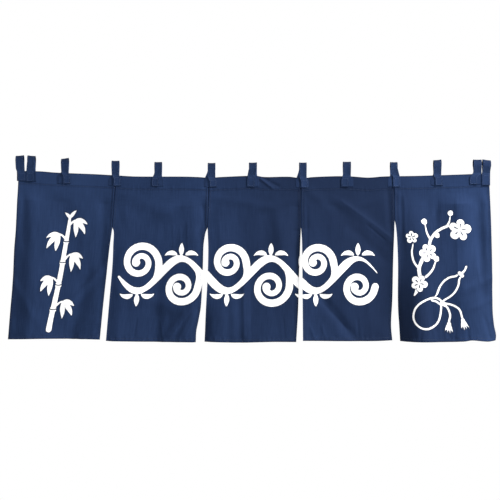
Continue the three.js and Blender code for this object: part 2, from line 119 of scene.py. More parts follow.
# Each width: its edges below the slits, its lower edge, the wave that it hangs in, its folds and its curled
# edges, as the solids have them. The creases are finer ones that only show here. A depth above 0 is a trough,
# away from the viewer, and one below 0 a ridge. The painted shading is painted light at its upper corners and
# its lower ones, and painted shade where it is below 0.
FOLD_COLUMNS = "top_x top_z foot_x foot_z width depth"
CURL_COLUMNS = "side top_z foot_z reach depth"
WIDTHS = [
    SimpleNamespace(
        name="panel_1",
        left=OUTER_LEFT,
        right=table("z x", (-298, -515.7), (-406, -527.6), (-514, -539.5), (-620, -550)),
        hem=table("x z", (-881, -619.6), (-751, -617.8), (-593, -619.2), (-550, -620.3)),
        wave=SimpleNamespace(crests=1.3, start=0.15, depth=5),
        painted_shading=((0.25, 0.15), (0.1, 0.1)),
        folds=table(
            FOLD_COLUMNS,
            (-850, -78, -857, -215, 22, -6.5), (-822, -105, -818, -262, 13, 2.5),
            (-797, -120, -808, -560, 32, -8.5), (-690, -140, -700, -560, 42, 4.5),
            (-536, -120, -544, -330, 20, 6), (-556, -382, -652, -488, 15, -7),
            (-606, -440, -650, -590, 26, 8),
        ),
        curls=table(CURL_COLUMNS, ("left", -40, -110, 16, 4), ("right", -420, -620, 30, 6)),
        creases=table(
            FOLD_COLUMNS,
            (-562, -412, -638, -500, 16, 3), (-672, -612, -590, -548, 7, -2),
            (-640, -616, -566, -560, 7, -2.2), (-610, -618, -556, -590, 6, -1.6),
            (-499, -84, -507, -214, 4, -1.4), (-780, -520, -792, -606, 7, 1.2),
            (-700, -90, -640, -140, 20, -0.8), (-849, -68, -853, -190, 11, -2.6),
            (-600, -200, -616, -340, 16, -2),
            (-850, -430, -800, -520, 16, -2.5),
        ),
    ),
    SimpleNamespace(
        name="panel_2",
        left=table("z x", (-232, -500), (-280, -501.5), (-352, -504.5), (-496, -517), (-625, -528)),
        right=table(
            "z x",
            (-236, -170), (-280, -177), (-352, -179.3), (-496, -186), (-550, -195), (-590, -203),
            (-628, -205),
        ),
        hem=table(
            "x z", (-528, -624.3), (-506, -626.1), (-370, -628.6), (-219, -630.4), (-205, -629.7)
        ),
        wave=SimpleNamespace(crests=1, start=0.5, depth=5),
        painted_shading=((-0.1, -0.02), (-0.22, -0.18)),
        folds=table(
            FOLD_COLUMNS,
            (-352, -420, -346, -620, 32, 8), (-226, -496, -312, -620, 15, -7),
            (-205, -500, -262, -620, 12, -5), (-470, -300, -488, -600, 30, -5),
            (-182, -120, -186, -300, 20, 4.5), (-316, -162, -190, -104, 22, -5),
            (-400, -470, -300, -500, 26, -4),
        ),
        curls=table(CURL_COLUMNS, ("right", -470, -600, 34, 8)),
        creases=table(
            FOLD_COLUMNS,
            (-222, -508, -290, -604, 6, -2.2), (-210, -540, -242, -606, 5, -1.8),
            (-286, -216, -284, -312, 3.5, -0.9), (-262, -222, -259, -330, 3.5, -0.8),
            (-236, -200, -233, -300, 3.5, -0.9), (-420, -560, -426, -606, 5, 1.4),
            (-330, -566, -326, -606, 5, -1.3), (-318, -510, -326, -622, 18, -3.5),
            (-470, -100, -340, -150, 24, -2.5),
            (-178, -150, -172, -212, 8, 2), (-450, -190, -430, -330, 22, -2),
        ),
    ),
    SimpleNamespace(
        name="panel_3",
        left=table("z x", (-298, -160.4), (-406, -163.5), (-514, -169.3), (-629, -174.5)),
        right=table("z x", (-298, 169.6), (-406, 165.3), (-514, 162.8), (-629, 156)),
        hem=table("x z", (-175, -628.6), (-46, -631.5), (69, -628.9), (156, -629.4)),
        wave=SimpleNamespace(crests=1.4, start=0.45, depth=4.5),
        painted_shading=((-0.15, -0.8), (-0.25, -0.35)),
        folds=table(
            FOLD_COLUMNS,
            (-30, -400, -26, -610, 20, -5), (60, -260, 84, -600, 40, 5), (160, -130, 156, -300, 20, 5),
            (-104, -330, -112, -580, 26, -4),
        ),
        curls=table(CURL_COLUMNS, ("left", -450, -600, 40, 22)),
        creases=table(
            FOLD_COLUMNS,
            (32, -46, 64, -71, 4.5, -3), (40, -42, 86, -67, 6, 2), (-70, -500, -66, -620, 14, -4),
            (-34, -440, -32, -600, 6, -1.6), (-8, -470, -6, -606, 5, 1.2),
            (-140, -110, 40, -140, 16, -2.4), (110, -560, 114, -608, 5, 1.3),
            (30, -150, 150, -120, 14, -1.8), (-120, -210, -110, -320, 14, -1.6),
            (90, -200, 104, -330, 18, -2),
        ),
    ),
    SimpleNamespace(
        name="panel_4",
        left=table("z x", (-262, 176), (-334, 177.2), (-478, 178.3), (-625, 179.3)),
        right=table("z x", (-334, 504.6), (-478, 501.4), (-568, 497.5), (-625, 502)),
        hem=table("x z", (180, -624.6), (299, -625.7), (442, -625.7), (502, -623.2)),
        wave=SimpleNamespace(crests=1.2, start=0, depth=4.5),
        painted_shading=((-0.7, -0.72), (-0.05, -0.8)),
        folds=table(
            FOLD_COLUMNS,
            (300, -112, 478, -250, 17, -3), (270, -130, 440, -300, 20, 3.5),
            (184, -370, 182, -625, 52, -11), (256, -480, 340, -585, 18, 7),
            (412, -380, 424, -600, 34, -3), (430, -118, 505, -90, 16, -3.5),
        ),
        curls=table(CURL_COLUMNS, ("right", -440, -600, 36, 8)),
        creases=table(
            FOLD_COLUMNS,
            (486, -110, 492, -200, 10, 2.6), (418, -214, 468, -256, 4.5, 1.4),
            (436, -206, 484, -244, 5, -1.2), (186, -110, 184, -480, 4, -1), (180, -400, 180, -625, 16, -2.5),
            (196, -150, 194, -420, 4, 0.8), (330, -130, 420, -196, 6, -1.2),
            (262, -500, 330, -574, 6, 1.6), (212, -590, 222, -618, 6, -1.8),
            (250, -580, 258, -616, 6, -1.8), (376, -556, 380, -606, 5, 1.4),
            (230, -110, 330, -190, 18, -2.4),
        ),
    ),
    SimpleNamespace(
        name="panel_5",
        left=table(
            "z x",
            (-212, 514), (-262, 518.3), (-334, 521), (-442, 521.6), (-514, 524), (-568, 528),
            (-625, 531.5),
        ),
        right=OUTER_RIGHT,
        hem=table(
            "x z",
            (531, -627), (557, -628.6), (672, -629.3), (759, -627.2), (787, -623.4), (845, -627.5),
            (873, -623.2),
        ),
        wave=SimpleNamespace(crests=1.3, start=0.25, depth=5),
        painted_shading=((-0.25, 0.05), (-1.0, 0.5)),
        folds=table(
            FOLD_COLUMNS,
            (664, -100, 660, -190, 12, 3.5), (636, -90, 640, -210, 34, 4),
            (745, -110, 752, -440, 42, -8.5), (808, -100, 812, -300, 26, 5),
            (818, -280, 826, -440, 18, 6), (620, -390, 632, -620, 30, -6),
            (590, -380, 596, -625, 34, -9), (692, -545, 696, -625, 44, 6),
            (530, -120, 536, -280, 20, 5), (790, -430, 858, -400, 16, -4),
            (692, -560, 690, -620, 150, -13), (832, -90, 834, -200, 14, -3.5),
        ),
        curls=table(
            CURL_COLUMNS, ("left", -360, -560, 78, 34), ("right", -540, -615, 44, 9)
        ),
        creases=table(
            FOLD_COLUMNS,
            (524, -110, 528, -230, 6, -1.8), (543, -120, 546, -240, 7, -1.8),
            (730, -130, 736, -400, 6, -1.2), (800, -300, 812, -400, 6, -1.3),
            (688, -150, 748, -90, 10, -2), (566, -586, 574, -622, 7, -2.2),
            (604, -592, 600, -622, 6, 2), (646, -584, 656, -622, 7, -2),
            (690, -576, 694, -618, 6, -1.8), (728, -590, 724, -620, 6, 1.8),
            (768, -560, 772, -612, 7, 2), (836, -556, 850, -606, 8, 2.4),
            (806, -500, 846, -480, 12, -2.5), (640, -500, 650, -600, 16, 3.5),
        ),
    ),
]

# Each loop: its strip's middle, top and width over the rod, and how far the top's right end stands above its
# left one
LOOPS = table(
    "x top width slant",
    (-837, 41, 29, 2.5), (-795, 40.5, 28.5, -2.5), (-675, 31, 27, 4), (-493.5, 22.5, 27.5, 0),
    (-340, 18, 27, 0), (-148.5, 14.5, 27.5, 0), (0, 16, 29, 1), (179.5, 16, 27, 0),
    (337.5, 19, 28.5, 0), (506, 17.5, 26, 0), (662.5, 25.5, 28, 2.5), (806, 26.5, 29.5, 0),
    (839.5, 25.5, 29, -4),
)

# The two legs of each loop: the side to which the front strip goes (-1 is left), the height at which they
# end, the outer edge of each, and how far above the header each begins to part from the loop
LEGS = table(
    "over end left left_parts right right_parts",
    (1, -50, -848, 38, -816, 12), (-1, -52.5, -815, 46, -779, 6), (1, -60.5, -704, 5, -655, 3),
    (1, -68.5, -519, 3, -473.5, 3), (-1, -70, -364, 16, -321.5, 3),
    (1, -71.5, -175.5, 32, -128.5, 3), (-1, -72, -21, 34, 22, 5), (1, -74.5, 154, 36, 200, 6),
    (-1, -72, 316.5, 8, 360.5, 4), (1, -72, 485.5, 6, 529.5, 36), (1, -66.5, 640, 8, 683, 3),
    (-1, -63, 778.5, 6, 822.5, 48), (1, -66.5, 823.5, 48, 851.5, 38),
)


def ease(t):
    t = np.clip(t, 0, 1)
    return t * t * (3 - 2 * t)


def curve_through(rows, of, to):
    """A smooth curve through a table's rows: the column `to` as a function of the column `of`."""
    rows = sorted(rows, key=lambda row: getattr(row, of))
    at = np.array([getattr(row, of) for row in rows], float)
    value = np.array([getattr(row, to) for row in rows], float)
    last = len(at) - 1
    before = np.maximum(np.arange(last + 1) - 1, 0)
    after = np.minimum(np.arange(last + 1) + 1, last)
    slope = (value[after] - value[before]) / (at[after] - at[before])

    def along(t):
        t = np.asarray(t, float)
        i = np.clip(np.searchsorted(at, t, "right") - 1, 0, last - 1)
        span = at[i + 1] - at[i]
        s = np.clip((t - at[i]) / span, 0, 1)
        bent = span * (slope[i] * s * (1 - s) ** 2 + slope[i + 1] * s * s * (s - 1))
        inside = value[i] + (value[i + 1] - value[i]) * ease(s) + bent
        return inside + slope[0] * np.minimum(t - at[0], 0) + slope[last] * np.maximum(t - at[last], 0)

    return along


header_edge = curve_through(HEADER_EDGE, "x", "z")


def drift(x, z, size_x, size_z, seed):
    """Smooth unevenness between -1 and 1, with patches of size_x by size_z."""
    lattice = np.random.RandomState(seed).uniform(-1, 1, (64, 64))
    u, v = np.asarray(x, float) / size_x + 1000, np.asarray(z, float) / size_z + 1000
    column, row = np.floor(u).astype(int), np.floor(v).astype(int)
    s, t = ease(u - column), ease(v - row)

    def corner(i, j):
        return lattice[(row + j) % 64, (column + i) % 64]

    upper = corner(0, 0) * (1 - s) + corner(1, 0) * s
    lower = corner(0, 1) * (1 - s) + corner(1, 1) * s
    return upper * (1 - t) + lower * t


def fold_depth(fold, x, z):
    """How far a fold moves the cloth. It fades slowly past the ends of its line."""
    run = np.array([fold.foot_x - fold.top_x, fold.foot_z - fold.top_z], float)
    length = np.hypot(*run)
    run /= length
    along = (x - fold.top_x) * run[0] + (z - fold.top_z) * run[1]
    across = (x - fold.top_x) * run[1] - (z - fold.top_z) * run[0]
    beyond = np.maximum(np.maximum(-along, along - length), 0) / SOFT_END
    return fold.depth * np.exp(-(across**2 + beyond**2) / fold.width**2)


def side_edge(seam, side, rows):
    """The side edge of a width: its own rows, or a seam down to its slit and then its rows."""
    if not seam:
        return curve_through(rows, "z", "x")
    below = curve_through([SimpleNamespace(z=seam.slit_z, x=seam.slit_x), *rows], "z", "x")
    lean = (seam.slit_x - seam.top_x) / (seam.slit_z - SEAM_TOP)

    def edge(z):
        sewn_x = seam.top_x + lean * (z - SEAM_TOP)
        return np.where(z > seam.slit_z, sewn_x, side * GAP / 2 + below(z))

    return edge


# The stitch lines of the hems, from the header's top edge, the lower edge and a side edge
HEADER_STITCH = 45.5
BOTTOM_STITCH = 11
SIDE_STITCH = 7.5

# A hem stands a little proud of the cloth in front, its stitches pull it in, and it puckers beside them.
HEM_PROUD = 1.1
HEM_FALL = 1.9
STITCH_PULL = 0.7
STITCH_REACH = 1.6
PUCKER_REACH = 9
HEADER_PUCKER = 0.5
BOTTOM_PUCKER = 1.7
SIDE_PUCKER = 0.35
PUCKER_LENGTH = 8
PUCKER_GROUP = 70
PUCKER_VARIES = 0.4


def hem_relief(distance, hem, stitch, pucker, along, seed):
    """How far the front face moves back or forward near a hem, at a distance in from its folded edge."""
    proud = -HEM_PROUD * (1 - ease((distance - hem + HEM_FALL) / (2 * HEM_FALL)))
    pulled = STITCH_PULL * np.exp(-(((distance - stitch) / STITCH_REACH) ** 2))
    flat = along * 0
    group = 1 - PUCKER_VARIES + PUCKER_VARIES * drift(along, flat, PUCKER_GROUP, 1, seed + 1)
    ripple = drift(along, flat, PUCKER_LENGTH, 1, seed) * group
    return proud + pulled + pucker * ripple * np.exp(-(((distance - stitch) / PUCKER_REACH) ** 2))


class Width:
    """One hung width of cloth: where a share across it and a height lie."""

    def __init__(self, number):
        self.row = WIDTHS[number]
        self.number = number
        self.seam_left = SEAMS[number - 1] if number > 0 else None
        self.seam_right = SEAMS[number] if number < len(SEAMS) else None
        self.left = side_edge(self.seam_left, 1, self.row.left)
        self.right = side_edge(self.seam_right, -1, self.row.right)
        self.lower_edge = curve_through(self.row.hem, "x", "z")

    def slit_line(self, x):
        """The height of the slits' starts, carried straight across the width."""
        middle_z = SEAM_TOP - HEADER_HEM
        first = self.seam_left or self.seam_right
        second = self.seam_right or self.seam_left
        left, right = self.left(middle_z), self.right(middle_z)
        return first.slit_z + (second.slit_z - first.slit_z) * (x - left) / (right - left)

    def hang(self, share, z):
        """x and y of the front face as it hangs by itself, and the distances to its side edges."""
        left, right = self.left(z), self.right(z)
        from_left, from_right = share * (right - left), (1 - share) * (right - left)
        x = left + from_left
        slack = ease((header_edge(x) - HEADER_HEM - SLACK_STARTS - z) / SLACK_FULL)
        loosened = np.minimum(1, FOLDS_LOOSEN * slack)
        wave = self.row.wave
        y = HEADER_FACE + wave.depth * slack * np.cos(2 * np.pi * (wave.crests * share + wave.start))
        for fold in self.row.folds:
            y = y + fold_depth(fold, x, z) * loosened
        for crease in self.row.creases:
            y = y + fold_depth(crease, x, z)
        for curl in self.row.curls:
            distance = from_left if curl.side == "left" else from_right
            bend = np.maximum(1 - distance / curl.reach, 0)
            y = y + curl.depth * bend**2 * ease((curl.top_z - z) / (curl.top_z - curl.foot_z))
        for seam, distance in ((self.seam_left, from_left), (self.seam_right, from_right)):
            if seam:
                bend = np.maximum(1 - distance / SEAM_GROOVE_WIDTH, 0)
                y = y + SEAM_GROOVE_DEPTH * bend**2 * ease(1 - (seam.slit_z - z) / GROOVE_RUN_OUT)
        return x, y, slack, from_left, from_right

    def front(self, share, z):
        """x and y of the front face, drawn to its neighbours along the seams, with its fine relief."""
        x, y, slack, from_left, from_right = self.hang(share, z)
        for seam, distance, step in ((self.seam_left, from_left, -1), (self.seam_right, from_right, 1)):
            if seam:
                own = self.hang(float(step > 0), z)[1]
                other = Width(self.number + step).hang(float(step < 0), z)[1]
                sewn = ease((z - seam.slit_z + SEAM_FREES) / SEAM_FREES)
                y = y + (other - own) / 2 * sewn * ease(1 - distance / SEAM_DRAWS)
        seed = 10 * self.number
        limp = LIMP_AT_HEADER + (1 - LIMP_AT_HEADER) * slack
        for i, (depth, size_x, size_z) in enumerate(UNEVENNESS):
            y = y + limp * depth * drift(x, z, size_x, size_z, seed + i)
        side = 40 + seed
        y = y + hem_relief(header_edge(x) - z, HEADER_HEM, HEADER_STITCH, HEADER_PUCKER, x, side)
        y = y + hem_relief(z - self.lower_edge(x), BOTTOM_HEM, BOTTOM_STITCH, BOTTOM_PUCKER, x, side + 2)
        y = y + hem_relief(from_left, SIDE_HEM, SIDE_STITCH, SIDE_PUCKER, z, side + 4)
        y = y + hem_relief(from_right, SIDE_HEM, SIDE_STITCH, SIDE_PUCKER, z, side + 6)
        return x, y


# Where the mesh is finer: distances from a folded edge, and distances from a stitch line
AT_EDGE = (0, 0.4, 1, 2.2)
PAST_EDGE = 4.6
AT_STITCH = (-2.2, -1.1, 0, 1.1)
BEFORE_STITCH = 3


def from_fold(hem, stitch):
    """Distances from a folded edge to just past its hem, close together where the cloth bends most."""
    marks = list(AT_EDGE)
    marks += list(np.arange(PAST_EDGE, stitch - BEFORE_STITCH, CLOTH_PITCH))
    marks += [stitch + offset for offset in AT_STITCH]
    return marks + [mark for mark in (hem - 0.2, hem + HEM_STEP) if mark > marks[-1] + 0.5]


def cloth_columns(width):
    beside = np.array(from_fold(SIDE_HEM, SIDE_STITCH)) / width
    inner = np.linspace(beside[-1], 1 - beside[-1], round(width * (1 - 2 * beside[-1]) / CLOTH_PITCH))
    return np.concatenate([beside, inner[1:-1], (1 - beside)[::-1]])


def cloth_rows(slit_drop, whole_drop):
    """Each row of points: the shares of the header's edge, the slits' line and the lower edge that make its
    height, and a distance."""
    header = from_fold(HEADER_HEM, HEADER_STITCH)
    bottom = from_fold(BOTTOM_HEM, BOTTOM_STITCH)
    rows = [(1, 0, 0, -distance) for distance in header]
    upper = round((slit_drop - header[-1]) / CLOTH_PITCH)
    for share in np.arange(1, upper) / upper:
        rows.append((1 - share, share, 0, -header[-1] * (1 - share)))
    lower = round((whole_drop - slit_drop - bottom[-1]) / CLOTH_PITCH)
    for share in np.arange(0, lower) / lower:
        rows.append((0, 1 - share, share, bottom[-1] * share))
    rows += [(0, 0, 1, distance) for distance in bottom[::-1]]
    return np.array(rows)


def closed_sheet(name, front, back):
    """One closed mesh between a front and a back grid of points, both in millimetres."""
    rows, columns = front.shape[:2]
    index = np.arange(2 * rows * columns).reshape(2, rows, columns)
    ahead, behind = index

    def quads(a, b, c, d):
        return np.stack([part.ravel() for part in (a, b, c, d)], 1)

    faces = [
        quads(ahead[:-1, :-1], ahead[1:, :-1], ahead[1:, 1:], ahead[:-1, 1:]),
        quads(behind[:-1, :-1], behind[:-1, 1:], behind[1:, 1:], behind[1:, :-1]),
        quads(ahead[:-1, 0], behind[:-1, 0], behind[1:, 0], ahead[1:, 0]),
        quads(ahead[1:, -1], behind[1:, -1], behind[:-1, -1], ahead[:-1, -1]),
        quads(ahead[0, 1:], behind[0, 1:], behind[0, :-1], ahead[0, :-1]),
        quads(ahead[-1, :-1], behind[-1, :-1], behind[-1, 1:], ahead[-1, 1:]),
    ]
    points = np.concatenate([front.reshape(-1, 3), back.reshape(-1, 3)])
    return mesh_piece(name, points, np.concatenate(faces))


def in_scene(name, data):
    """An object of a mesh, camera or light, linked to the scene."""
    made = bpy.data.objects.new(name, data)
    bpy.context.scene.collection.objects.link(made)
    return made


def mesh_piece(name, points, quads):
    """A smooth-shaded mesh of quads, its points given in millimetres."""
    mesh = bpy.data.meshes.new(name)
    mesh.vertices.add(len(points))
    mesh.vertices.foreach_set("co", (np.asarray(points, float) * MM).ravel())
    mesh.loops.add(4 * len(quads))
    mesh.loops.foreach_set("vertex_index", quads.ravel().astype(np.int32))
    mesh.polygons.add(len(quads))
    mesh.polygons.foreach_set("loop_start", np.arange(0, 4 * len(quads), 4, dtype=np.int32))
    mesh.update(calc_edges=True)
    mesh.validate()
    mesh.shade_smooth()
    return in_scene(name, mesh)


def mark(piece, name, values):
    """Keeps a number, or a row of three, for each point of a piece, for its material to read."""
    values = np.asarray(values, np.float32)
    if values.ndim == 1:
        piece.data.attributes.new(name, "FLOAT", "POINT").data.foreach_set("value", values)
    else:
        made = piece.data.attributes.new(name, "FLOAT_VECTOR", "POINT")
        made.data.foreach_set("vector", values.ravel())


def unit(vectors):
    return vectors / np.linalg.norm(vectors, axis=-1, keepdims=True)


# Brush strokes. The print is drawn on the flat cloth: x runs across all five widths from -850 to 850, and z
# is the height. A stroke is a smooth line through points with a half width at each.
STROKE_STEP = 3.5
THINNEST_STROKE = 0.3

# How far from a stroke its distances are worked out, and the distance given past that
STROKE_REACH = 30
FAR_OUTSIDE = 60.0

# A leaf's half width along it, as shares
LEAF_PROFILE = ((0, 0.25), (0.16, 0.7), (0.4, 1), (0.66, 0.78), (0.86, 0.36), (1, 0.05))


def smooth_line(points):
    """Points along a smooth line through the given rows of x, z and half width."""
    points = np.array(points, float)
    padded = np.concatenate([[2 * points[0] - points[1]], points, [2 * points[-1] - points[-2]]])
    made = []
    for a, b, c, d in zip(padded, padded[1:], padded[2:], padded[3:]):
        steps = max(2, int(np.hypot(*(c - b)[:2]) / STROKE_STEP))
        t = (np.arange(steps) / steps)[:, None]
        made.append(0.5 * (2 * b + (c - a) * t + (2 * a - 5 * b + 4 * c - d) * t**2
                           + (3 * b - a - 3 * c + d) * t**3))
    made.append(points[-1:])
    line = np.concatenate(made)
    line[:, 2] = np.maximum(line[:, 2], THINNEST_STROKE)
    return line


def stroke_field(line, x, z):
    """The distance from each point to the stroke's edge, below 0 inside it."""
    field = np.full(x.shape, FAR_OUTSIDE)
    reach = line[:, 2].max() + STROKE_REACH
    low, high = line[:, :2].min(0) - reach, line[:, :2].max(0) + reach
    near = (x > low[0]) & (x < high[0]) & (z > low[1]) & (z < high[1])
    if not near.any():
        return field
    px, pz = x[near], z[near]
    best = np.full(px.shape, FAR_OUTSIDE)
    for a, b in zip(line[:-1], line[1:]):
        run = b[:2] - a[:2]
        t = np.clip(((px - a[0]) * run[0] + (pz - a[1]) * run[1]) / max(run @ run, 1e-9), 0, 1)
        away = np.hypot(px - a[0] - t * run[0], pz - a[1] - t * run[1])
        best = np.minimum(best, away - a[2] - t * (b[2] - a[2]))
    field[near] = best
    return field


def leaf(x, z, angle, length, half_width, bend=0.0):
    """A leaf in one pressed and lifted brush stroke. Its angle is in degrees from the right, upwards."""
    rows = []
    for share, width in LEAF_PROFILE:
        turn = math.radians(angle + bend * share)
        rows.append((x + length * share * math.cos(turn), z + length * share * math.sin(turn),
                     half_width * width))
    return smooth_line(rows)


# The vine scroll across the three middle widths: a stem in waves, and in each of its bays a curled tendril
VINE_MIDDLE = -387
VINE_RISE = 58
VINE_BAY = 157.5
VINE_FIRST_BAY = -410
VINE_BAYS = 6
VINE_ENDS = (-482, 452)
TENDRIL_RADIUS = 70
TENDRIL_CORE = 15
TENDRIL_TURNS = 1.5
TENDRIL_CENTRE = (3, 44)
TENDRIL_HALF = 13.5
TENDRIL_THINS = 4.5
TENDRIL_KNOB = 6
KNOB_FROM = 0.86

# The stem's half width and how much it swells along each wave, and where a tendril leaves it: place along the
# stem and half width
STEM_HALF = 12.5
STEM_SWELL = 2.5
TENDRIL_LEAVES_STEM = ((44, 8), (60, 10))
TENDRIL_ARRIVES = (71, 8, 12)

# The leaves at the outside of each bend: place along the stem, angle, length, half width and bend
PALMETTE = ((-17, 138, 47, 8.5, 46), (17, 42, 47, 8.5, -46), (0, 90, 44, 9.5, 0))


def stem_height(x):
    return VINE_MIDDLE - VINE_RISE * math.cos(math.pi * (x - VINE_FIRST_BAY) / VINE_BAY)


def vine():
    """The stem, and for each bay its tendril and the leaves on the outside of the stem's bend."""
    strokes = []
    stem = []
    for share in np.linspace(0, 1, 40):
        x = VINE_ENDS[0] + (VINE_ENDS[1] - VINE_ENDS[0]) * share
        swell = STEM_HALF + STEM_SWELL * math.sin(2 * math.pi * (x / VINE_BAY + 0.15))
        stem.append((x, stem_height(x), swell * min(1, 0.3 + 9 * share, 0.1 + 7 * (1 - share))))
    strokes.append(smooth_line(stem))
    for bay in range(VINE_BAYS):
        middle = VINE_FIRST_BAY + bay * VINE_BAY
        up = 1 if bay % 2 == 0 else -1
        size = 0.94 + 0.06 * math.cos(2.1 * bay)
        tendril = []
        if bay < VINE_BAYS - 1:
            for x, half in TENDRIL_LEAVES_STEM:
                tendril.append((middle + x, stem_height(middle + x), half))
            x, rise, half = TENDRIL_ARRIVES
            tendril.append((middle + x, VINE_MIDDLE + up * rise, half))
        for share in np.linspace(0, 1, 26):
            turn = 2 * math.pi * TENDRIL_TURNS * share
            radius = size * (TENDRIL_RADIUS + (TENDRIL_CORE - TENDRIL_RADIUS) * share**0.85)
            knob = TENDRIL_KNOB * max(0, share - KNOB_FROM) / (1 - KNOB_FROM)
            tendril.append((middle + TENDRIL_CENTRE[0] + radius * math.cos(turn),
                            VINE_MIDDLE + up * (TENDRIL_CENTRE[1] + radius * math.sin(turn)),
                            TENDRIL_HALF - TENDRIL_THINS * share + knob))
        strokes.append(smooth_line(tendril))
        outside = VINE_MIDDLE - up * (VINE_RISE + 13)
        for x, angle, length, half_width, bend in PALMETTE:
            strokes.append(leaf(middle + x, outside, -up * angle, length, half_width, -up * bend))
    return strokes


# The bamboo on the first width: a jointed stalk, and leaves that hang in sprays from short twigs
BAMBOO_STALK = [
    (-702, -584, 10), (-697, -540, 9), (-690, -490, 9), (-684, -440, 8.5), (-678, -390, 8.5),
    (-673, -340, 8), (-669, -290, 7.5), (-666, -245, 7), (-664, -205, 5.5), (-662, -180, 3.5),
]
BAMBOO_JOINTS = table(
    "x z half_width", (-693, -512, 9), (-682, -424, 8.5), (-673.5, -343, 8), (-667.5, -268, 7.2)
)
JOINT_LINE = 1.9
BAMBOO_TWIGS = [
    [(-664, -212, 3.5), (-650, -196, 3), (-640, -190, 2)],
    [(-667, -262, 3.5), (-684, -246, 3), (-696, -240, 2)],
    [(-671, -338, 3.5), (-654, -318, 3), (-642, -312, 2)],
    [(-680, -420, 3.5), (-698, -402, 3), (-710, -396, 2)],
    [(-690, -506, 3.5), (-672, -488, 3), (-658, -482, 2)],
]
BAMBOO_LEAVES = table(
    "x z angle length half_width bend",
    (-661, -184, 68, 36, 6, -16), (-660, -186, 118, 30, 5.5, 14),
    (-641, -190, 6, 46, 7.5, -28), (-641, -192, -34, 62, 9, -20), (-644, -195, -74, 58, 8.5, -8),
    (-697, -240, 172, 44, 7.5, 28), (-697, -243, -146, 62, 9, 20), (-693, -246, -106, 58, 8.5, 8),
    (-642, -312, 2, 44, 7.5, -26), (-642, -314, -38, 64, 9.5, -20), (-645, -317, -78, 60, 9, -8),
    (-711, -396, 174, 40, 7.5, 28), (-711, -399, -144, 60, 9.5, 20), (-707, -402, -104, 62, 9, 8),
    (-658, -482, 4, 44, 8, -28), (-658, -484, -36, 62, 9.5, -20), (-662, -487, -78, 58, 9, -8),
)


def bamboo():
    strokes = [smooth_line(BAMBOO_STALK)]
    for joint in BAMBOO_JOINTS:
        strokes.append(np.array([(joint.x - 3, joint.z, joint.half_width + 0.4),
                                 (joint.x + 3, joint.z, joint.half_width + 0.4)]))
    strokes += [smooth_line(twig) for twig in BAMBOO_TWIGS]
    for row in BAMBOO_LEAVES:
        strokes.append(leaf(row.x, row.z, row.angle, row.length, row.half_width, row.bend))
    return strokes


def bamboo_joint_lines():
    """A bowed line left dark across the stalk at each joint."""
    lines = []
    for joint in BAMBOO_JOINTS:
        reach = joint.half_width + 5
        bow = ((-reach, 2), (0, -1), (reach, 2))
        lines.append(smooth_line([(joint.x + x, joint.z + z, JOINT_LINE) for x, z in bow]))
    return lines


# The plum branch at the top of the last width
PLUM_BRANCHES = (
    [(566, -462, 2), (579, -438, 7), (588, -404, 6.5), (584, -366, 6), (598, -330, 6),
     (620, -300, 5.5), (630, -262, 5), (655, -232, 4.5), (690, -214, 4), (728, -206, 3)],
    [(588, -404, 4), (612, -392, 4), (634, -368, 3.5), (646, -338, 2)],
    [(584, -366, 3.5), (566, -340, 3.5), (560, -306, 3), (566, -276, 1.5)],
    [(630, -262, 3.5), (618, -236, 3), (614, -206, 1.5)],
    [(690, -214, 3), (702, -196, 2.5), (706, -176, 1.5)],
)
PLUM_FLOWERS = table(
    "x z radius turn",
    (736, -226, 41, 8), (618, -308, 34, 40), (584, -418, 31, 62), (562, -252, 23, 20),
)
PLUM_BUDS = table("x z radius", (649, -330, 10), (613, -196, 10.5), (707, -166, 9.5), (655, -246, 9))
PETAL_GAP = 2.6
# A stamen's line: how far out in the flower, in radii, and its half width in millimetres
STAMEN = ((0.16, 1.5), (0.5, 2.5))


def flower(row):
    """Five round petals, each a little other than the next, and the cleared lines of its stamens."""
    petals, cleared = [], []
    for petal in range(5):
        turn = math.radians(row.turn + 72 * petal)
        size = row.radius * (0.36 + 0.03 * math.sin(2.3 * petal + row.turn))
        away = row.radius * (0.6 + 0.03 * math.cos(1.7 * petal))
        x, z = row.x + away * math.cos(turn), row.z + away * math.sin(turn)
        petals.append(np.array([(row.x + 0.4 * away * math.cos(turn), row.z + 0.4 * away * math.sin(turn),
                                 0.7 * size), (x, z, size)]))
        cleared.append(np.array([
            (row.x + r * row.radius * math.cos(turn), row.z + r * row.radius * math.sin(turn), half)
            for r, half in STAMEN]))
    return petals, cleared


# The gourd at the foot of the last width, drawn as a line: its body from the foot to the neck, the cord about
# its waist and two tassels
GOURD_BODY = [
    (602, -540, 42), (612, -528, 46), (632, -503, 32), (648, -484, 15.5), (664, -466, 17),
    (686, -440, 27), (703, -420, 24), (720, -402, 10), (731, -390, 6.5),
]
GOURD_LINE = 3.3
GOURD_STOPPER = [(731, -381, 6), (741, -391, 6)]
GOURD_STALK = [(738, -384, 4), (749, -372, 3.4), (756, -358, 3)]
CORD_LEFT_OPEN = [(642, -491, 14), (662, -468, 14)]
GOURD_CORD = (
    [(630, -479, 3), (646, -483, 3.4), (661, -494, 3)],
    [(638, -469, 3), (654, -473, 3.4), (669, -484, 3)],
)
GOURD_KNOT = [(668, -488, 7.5), (677, -495, 6.5)]
GOURD_TAILS = (
    [(672, -492, 3.6), (688, -508, 3.4), (695, -532, 3.4), (689, -554, 3.6)],
    [(678, -490, 3.6), (705, -496, 3.4), (729, -512, 3.4), (737, -540, 3.6)],
)
TASSELS = table("x z angle", (689, -558, -100), (738, -545, -80))


def gourd_outline(x, z):
    return np.abs(stroke_field(smooth_line(GOURD_BODY), x, z)) - GOURD_LINE


def tassel(row):
    """A bound head and threads that spread from it."""
    strokes = [leaf(row.x, row.z, row.angle, 16, 7)]
    for spread in (-22, -7, 7, 22):
        strokes.append(leaf(row.x, row.z, row.angle + spread, 40, 3.1))
    return strokes


